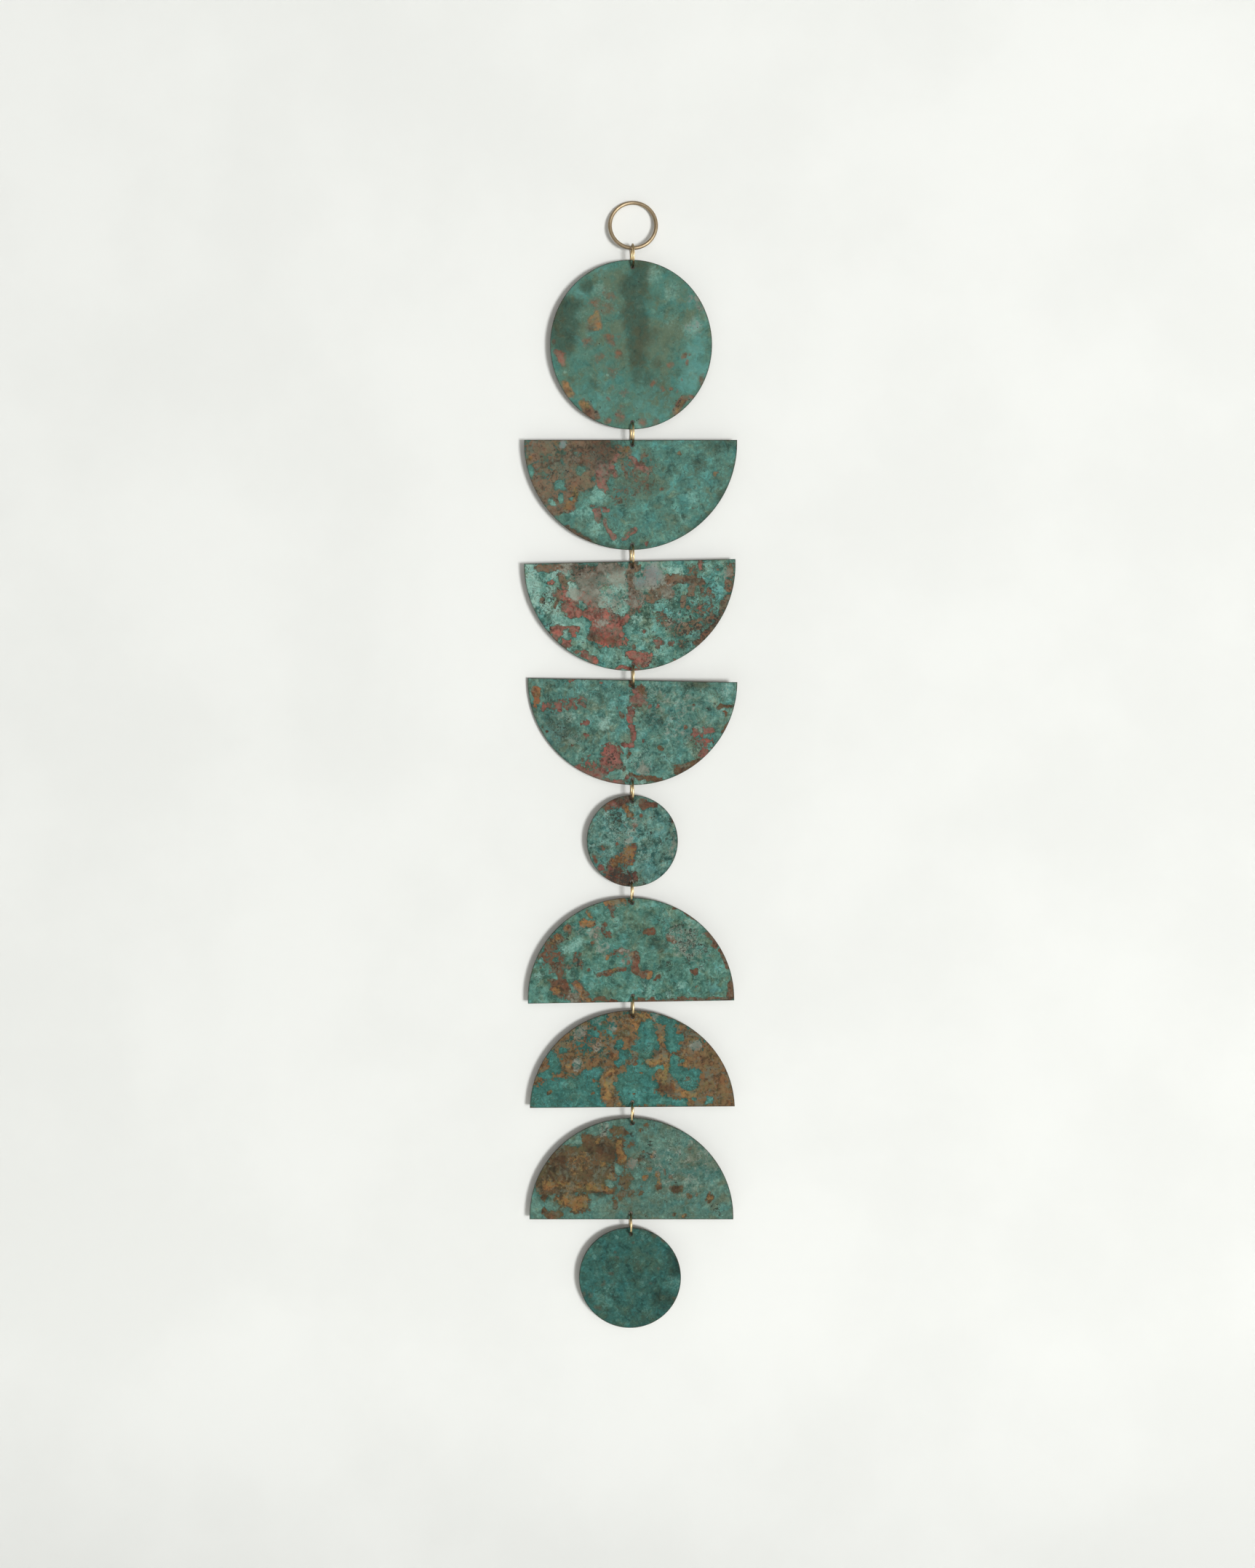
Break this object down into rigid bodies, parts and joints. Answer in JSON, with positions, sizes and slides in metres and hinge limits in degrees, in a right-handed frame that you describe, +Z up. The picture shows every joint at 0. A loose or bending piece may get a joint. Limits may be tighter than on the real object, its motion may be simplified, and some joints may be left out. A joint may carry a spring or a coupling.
{
  "type": "wall hanging",
  "caption": "Hanging column of verdigris-patinated brass discs and half discs, joined one under the other by round wire links below a plain brass ring.",
  "frame": {"origin": "inside top of the hanging ring, where the pin holds it, in the middle of the wire's thickness", "axes": "+Z up, -Y towards the viewer and +Y towards the wall, +X to the viewer's right"},
  "size_m": [0.1028, 0.0114, 0.5532],
  "materials": {
    "verdigris_sheet": "matte blue-green verdigris crust with brown, ochre and red copper-toned patches",
    "aged_ring_brass": "dull aged brass wire",
    "bright_link_brass": "polished brass wire"
  },
  "bodies": {
    "root": {"hanging_ring": "aged_ring_brass", "link_1": "bright_link_brass", "large_disc": "verdigris_sheet", "link_2": "bright_link_brass", "upper_bowl": "verdigris_sheet", "link_3": "bright_link_brass", "middle_bowl": "verdigris_sheet", "link_4": "bright_link_brass", "lower_bowl": "verdigris_sheet", "link_5": "bright_link_brass", "small_disc": "verdigris_sheet", "link_6": "bright_link_brass", "upper_dome": "verdigris_sheet", "link_7": "bright_link_brass", "middle_dome": "verdigris_sheet", "link_8": "bright_link_brass", "lower_dome": "verdigris_sheet", "link_9": "bright_link_brass", "end_disc": "verdigris_sheet"}
  },
  "joints": []
}
